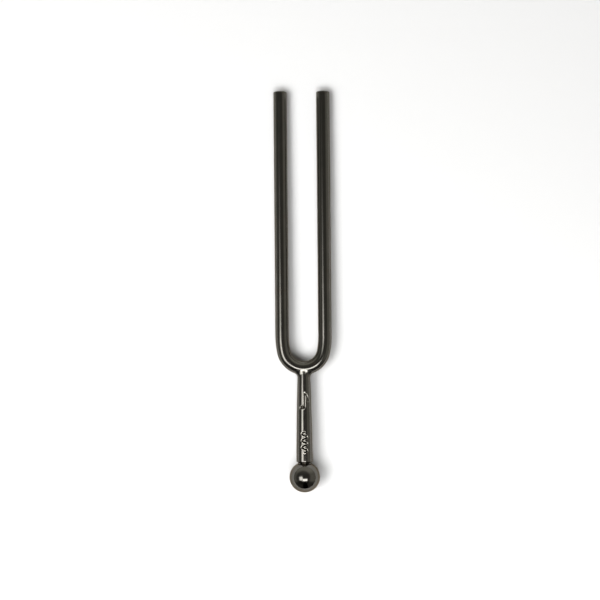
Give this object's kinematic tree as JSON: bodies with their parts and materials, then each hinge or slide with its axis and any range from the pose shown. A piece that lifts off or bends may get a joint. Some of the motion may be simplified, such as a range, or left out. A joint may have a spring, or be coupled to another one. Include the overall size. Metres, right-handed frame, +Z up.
{
  "type": "tuning fork",
  "caption": "Ball-ended tuning fork bent from round bar, with a tapered stem; gives the note A at 440 Hz and rests its ball on a sounding board.",
  "frame": {"origin": "under the middle of the fork's length, at the height of the ball's lowest point, with the fork lying flat", "axes": "+X across the two tines, +Y along the tines towards their tips, +Z up out of the fork's plane, on the marked side"},
  "size_m": [0.015, 0.1074, 0.0082],
  "materials": {
    "plated_steel": "dark nickel plating, polished",
    "plated_braze": "brazing metal under the same dark nickel plating"
  },
  "bodies": {
    "root": {"tine_bar": "plated_steel", "stem": "plated_steel", "ball": "plated_steel", "braze": "plated_braze"}
  },
  "joints": []
}
